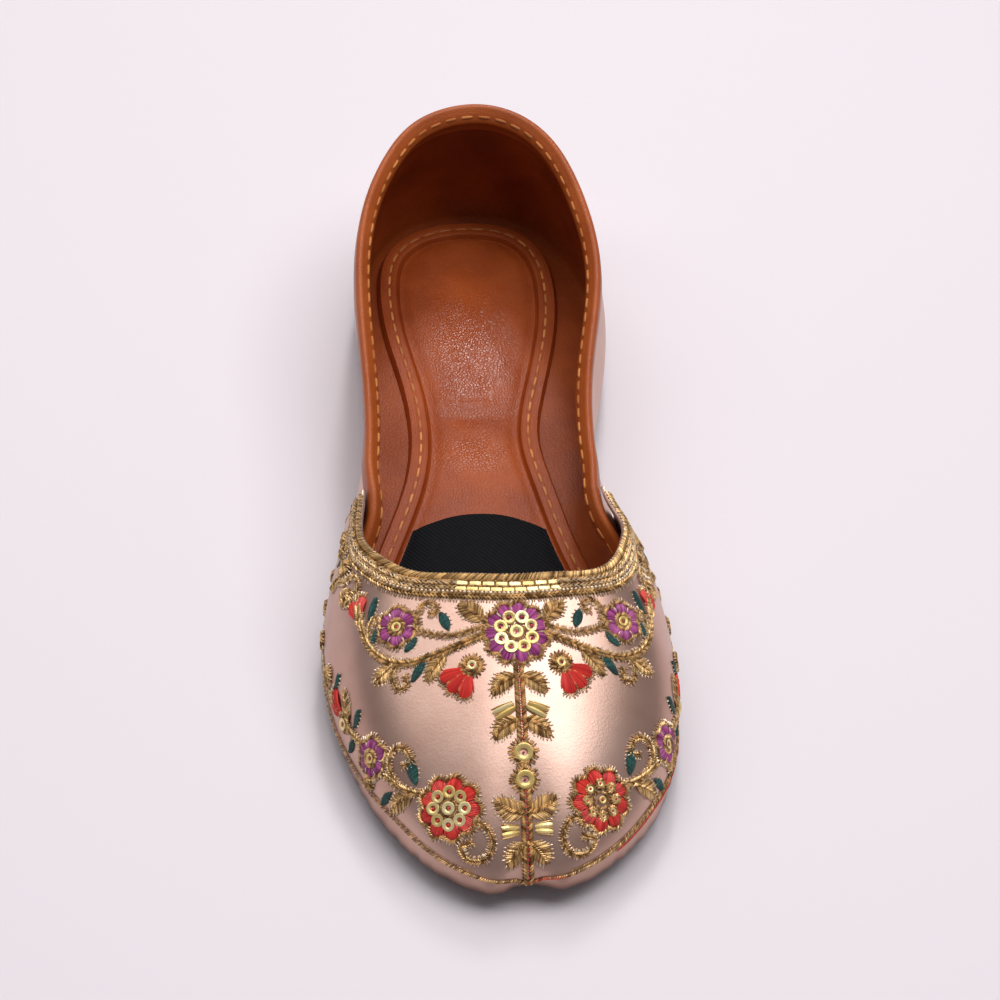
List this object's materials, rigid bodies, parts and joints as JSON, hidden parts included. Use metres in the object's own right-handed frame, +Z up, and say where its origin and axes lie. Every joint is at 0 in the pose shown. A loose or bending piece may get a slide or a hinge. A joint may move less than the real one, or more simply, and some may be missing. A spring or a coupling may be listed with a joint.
{
  "type": "mojari shoe",
  "caption": "Flat slip-on right shoe with a rounded, notched toe, embroidered metallic vamp, low throat, rolled leather collar, padded stitched insole and thin sprung outsole.",
  "frame": {"origin": "on the floor, under the middle of the shoe's bounding box", "axes": "+Z up; +Y from toe to heel, along the shoe; +X towards the inner side of the foot"},
  "size_m": [0.0902, 0.244, 0.053],
  "materials": {
    "sole": "matt brown sheet with a cut edge",
    "shell": "rose gold metallic foil on fine-grained leather, soft mirror gloss",
    "sock": "tan pebble-grained leather, semi-gloss, stitched",
    "binding": "tan leather, rolled, smooth and semi-gloss",
    "patch": "black woven twill",
    "braid": "gold metal thread and sequins"
  },
  "bodies": {
    "root": {"outsole": "sole", "upper": "shell", "insole": "sock", "collar_binding": "binding", "label_patch": "patch", "throat_braid": "braid"}
  },
  "joints": []
}
